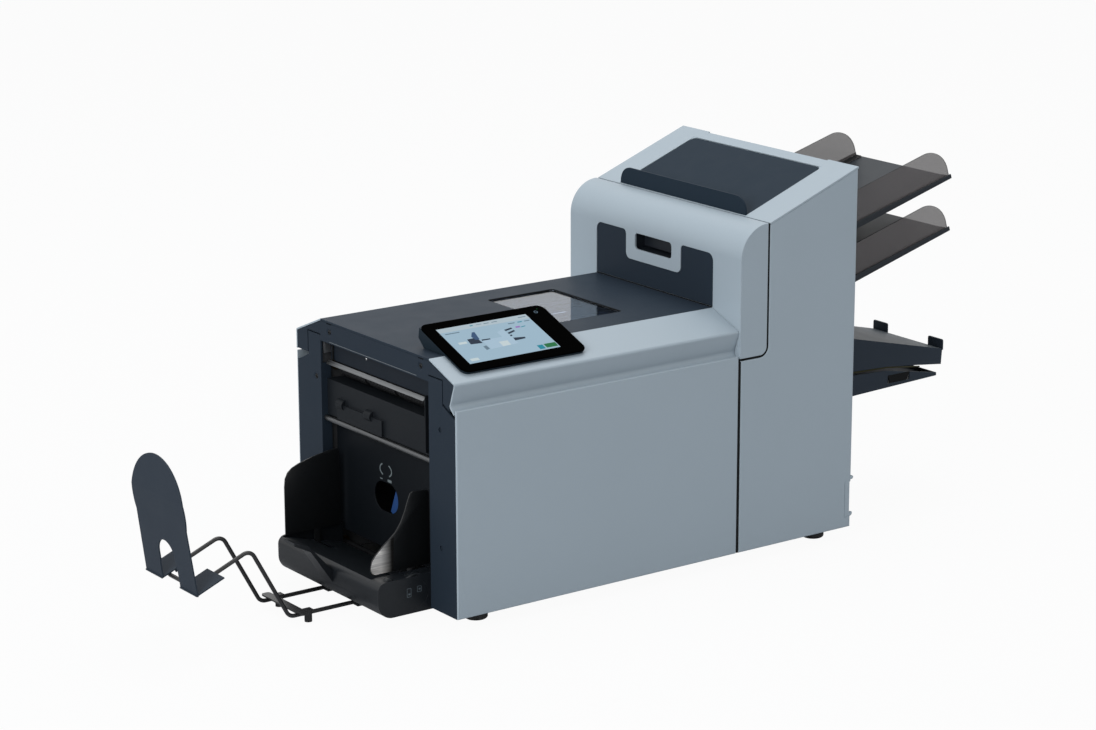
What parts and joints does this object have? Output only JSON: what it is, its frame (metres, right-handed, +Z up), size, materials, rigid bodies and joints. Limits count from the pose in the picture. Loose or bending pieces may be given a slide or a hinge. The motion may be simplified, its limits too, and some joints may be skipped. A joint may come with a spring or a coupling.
{
  "type": "folder inserter",
  "caption": "Desk folder inserter with a lifting upper unit, tilted touch screen, feeder tower, two sheet trays, an insert tray, an envelope hopper and a wire stacker",
  "frame": {"origin": "Middle of the bottom of the whole object's bounding box, on the ground under the feet", "axes": "+X runs from the envelope output end to the document feeder end; +Y points from the operator's side to the rear; +Z is up"},
  "size_m": [1.3814, 0.4215, 0.58],
  "materials": {
    "cover_grey": "fine-grained, painted",
    "navy_plastic": "fine-grained",
    "black_plastic": "satin",
    "smoked_plastic": "clear, smoked",
    "clear_window": "clear, tinted",
    "screen_glass": "polished, black behind",
    "blue_plastic": "smooth",
    "zinc_steel": "zinc plated",
    "bright_steel": "drawn, bright",
    "bush_bronze": "sintered",
    "motor_black": "powder coated",
    "roller_rubber": "ground",
    "foot_rubber": "moulded"
  },
  "bodies": {
    "casing": {"chassis": "zinc_steel", "feet": "foot_rubber", "side_frames": "zinc_steel", "tie_rods": "bright_steel", "bearings": "bush_bronze", "front_panel": "cover_grey", "rear_panel": "cover_grey", "tower_front_cover": "cover_grey", "tower_rear_cover": "cover_grey", "tower_end_cover": "cover_grey", "tower_top_cover": "cover_grey", "end_columns": "navy_plastic", "frame_screws": "bright_steel", "sheet_trays": "black_plastic", "insert_tray": "black_plastic", "exit_guide_bar": "bright_steel", "exit_chute": "black_plastic", "bay_back_wall": "black_plastic", "hopper_base": "black_plastic", "drive_motor": "motor_black", "drive_belt": "roller_rubber", "power_supply": "zinc_steel", "power_inlet": "black_plastic"},
    "top_unit": {"lid": "navy_plastic", "window": "clear_window", "ledge_cover": "cover_grey", "rear_slope_cover": "cover_grey", "top_end_plate": "navy_plastic", "top_screws": "bright_steel", "top_inner_frame": "zinc_steel", "hood": "cover_grey", "hood_inlay": "navy_plastic", "grip_cup": "navy_plastic", "tablet_housing": "black_plastic", "tablet_glass": "screen_glass"},
    "release_paddle": {"release_paddle": "navy_plastic"},
    "flap": {"flap_panel": "navy_plastic"},
    "upper_guide_front": {"upper_guide_front": "smoked_plastic"},
    "upper_guide_rear": {"upper_guide_rear": "smoked_plastic"},
    "lower_guide_front": {"lower_guide_front": "smoked_plastic"},
    "lower_guide_rear": {"lower_guide_rear": "smoked_plastic"},
    "insert_cover": {"insert_cover": "black_plastic"},
    "insert_latch": {"insert_latch": "black_plastic"},
    "hopper_guide_front": {"hopper_guide_front": "smoked_plastic"},
    "hopper_guide_rear": {"hopper_guide_rear": "smoked_plastic"},
    "hopper_spindle": {"hopper_spindle": "black_plastic"},
    "separation_lever": {"separation_lever": "blue_plastic"},
    "stacker": {"stacker_wire": "bright_steel", "stacker_foot_bar": "zinc_steel"},
    "stop_plate": {"stop_plate": "black_plastic"},
    "exit_roller": {"exit_roller": "roller_rubber"},
    "fold_roller_1": {"fold_roller_1": "roller_rubber"},
    "fold_roller_2": {"fold_roller_2": "roller_rubber"},
    "fold_roller_3": {"fold_roller_3": "roller_rubber"},
    "motor_pulley": {"motor_pulley": "bright_steel"},
    "upper_feed_roller": {"upper_feed_roller": "roller_rubber"},
    "lower_feed_roller": {"lower_feed_roller": "roller_rubber"},
    "insert_feed_roller": {"insert_feed_roller": "roller_rubber"},
    "envelope_feed_roller": {"envelope_feed_roller": "roller_rubber"},
    "power_switch": {"power_switch": "black_plastic"}
  },
  "joints": [
    {"name": "top_unit_hinge", "type": "hinge", "parent": "casing", "child": "top_unit", "pos_m": [-0.32782, 0, 0.342], "axis": [0, -1, 0], "range_deg": [0, 45]},
    {"name": "release_paddle_hinge", "type": "hinge", "parent": "top_unit", "child": "release_paddle", "pos_m": [0.18528, 0, 0.4583], "axis": [0, -1, 0], "range_deg": [0, 12], "stiffness_Nm_per_rad": 0.25},
    {"name": "flap_hinge", "type": "hinge", "parent": "casing", "child": "flap", "pos_m": [0.36399, 0, 0.56798], "axis": [0, 1, 0], "range_deg": [0, 70]},
    {"name": "upper_guide_front_slide", "type": "slide", "parent": "casing", "child": "upper_guide_front", "axis": [0, 1, 0], "range_m": [0, 0.045]},
    {"name": "upper_guide_rear_slide", "type": "slide", "parent": "casing", "child": "upper_guide_rear", "axis": [0, 1, 0], "range_m": [-0.045, 0]},
    {"name": "lower_guide_front_slide", "type": "slide", "parent": "casing", "child": "lower_guide_front", "axis": [0, 1, 0], "range_m": [0, 0.045]},
    {"name": "lower_guide_rear_slide", "type": "slide", "parent": "casing", "child": "lower_guide_rear", "axis": [0, 1, 0], "range_m": [-0.045, 0]},
    {"name": "insert_cover_hinge", "type": "hinge", "parent": "casing", "child": "insert_cover", "pos_m": [0.39718, 0, 0.184], "axis": [0, 1, 0], "range_deg": [0, 25]},
    {"name": "insert_latch_hinge", "type": "hinge", "parent": "insert_cover", "child": "insert_latch", "pos_m": [0.59618, -0.08135, 0.19925], "axis": [-1, 0, 0], "range_deg": [0, 25]},
    {"name": "hopper_guide_front_slide", "type": "slide", "parent": "casing", "child": "hopper_guide_front", "axis": [0, 1, 0], "range_m": [0, 0.045]},
    {"name": "hopper_guide_rear_slide", "type": "slide", "parent": "casing", "child": "hopper_guide_rear", "axis": [0, 1, 0], "range_m": [-0.045, 0]},
    {"name": "hopper_spindle_turn", "type": "hinge", "parent": "casing", "child": "hopper_spindle", "pos_m": [-0.36182, 0, 0.046], "axis": [0, 1, 0], "range_deg": [0, 400]},
    {"name": "separation_lever_hinge", "type": "hinge", "parent": "casing", "child": "separation_lever", "pos_m": [-0.30652, 0.01, 0.078], "axis": [-1, 0, 0], "range_deg": [0, 44]},
    {"name": "stacker_slide", "type": "slide", "parent": "casing", "child": "stacker", "axis": [1, 0, 0], "range_m": [0, 0.06]},
    {"name": "stop_plate_slide", "type": "slide", "parent": "stacker", "child": "stop_plate", "axis": [0.9245, 0, 0.3811], "range_m": [0, 0.035]},
    {"name": "exit_roller_turn", "type": "hinge", "parent": "casing", "child": "exit_roller", "pos_m": [-0.30882, 0, 0.311], "axis": [0, 1, 0], "continuous": true},
    {"name": "fold_roller_1_turn", "type": "hinge", "parent": "casing", "child": "fold_roller_1", "pos_m": [0.25518, 0, 0.236], "axis": [0, 1, 0], "continuous": true},
    {"name": "fold_roller_2_turn", "type": "hinge", "parent": "casing", "child": "fold_roller_2", "pos_m": [0.28518, 0, 0.236], "axis": [0, 1, 0], "continuous": true},
    {"name": "fold_roller_3_turn", "type": "hinge", "parent": "casing", "child": "fold_roller_3", "pos_m": [0.30446, 0, 0.25898], "axis": [0, 1, 0], "continuous": true},
    {"name": "motor_pulley_turn", "type": "hinge", "parent": "casing", "child": "motor_pulley", "pos_m": [0.25518, 0, 0.12], "axis": [0, 1, 0], "continuous": true},
    {"name": "upper_feed_roller_turn", "type": "hinge", "parent": "casing", "child": "upper_feed_roller", "pos_m": [0.35918, 0, 0.41301], "axis": [0, 1, 0], "continuous": true},
    {"name": "lower_feed_roller_turn", "type": "hinge", "parent": "casing", "child": "lower_feed_roller", "pos_m": [0.35918, 0, 0.32931], "axis": [0, 1, 0], "continuous": true},
    {"name": "insert_feed_roller_turn", "type": "hinge", "parent": "casing", "child": "insert_feed_roller", "pos_m": [0.35918, 0, 0.28932], "axis": [0, 1, 0], "continuous": true},
    {"name": "envelope_feed_roller_turn", "type": "hinge", "parent": "casing", "child": "envelope_feed_roller", "pos_m": [-0.30082, 0, 0.036], "axis": [0, 1, 0], "continuous": true},
    {"name": "power_switch_rock", "type": "hinge", "parent": "casing", "child": "power_switch", "pos_m": [0.33838, 0.2055, 0.08], "axis": [1, 0, 0], "range_deg": [-7, 7]}
  ],
  "couplings": [
    {"joint": "upper_guide_rear_slide", "follows": "upper_guide_front_slide", "ratio": -1},
    {"joint": "lower_guide_rear_slide", "follows": "lower_guide_front_slide", "ratio": -1},
    {"joint": "hopper_guide_rear_slide", "follows": "hopper_guide_front_slide", "ratio": -1},
    {"joint": "hopper_spindle_turn", "follows": "hopper_guide_front_slide", "rad_per_m": 155},
    {"joint": "fold_roller_2_turn", "follows": "fold_roller_1_turn", "ratio": -1},
    {"joint": "fold_roller_3_turn", "follows": "fold_roller_1_turn", "ratio": 1},
    {"joint": "motor_pulley_turn", "follows": "fold_roller_1_turn", "ratio": 2}
  ]
}
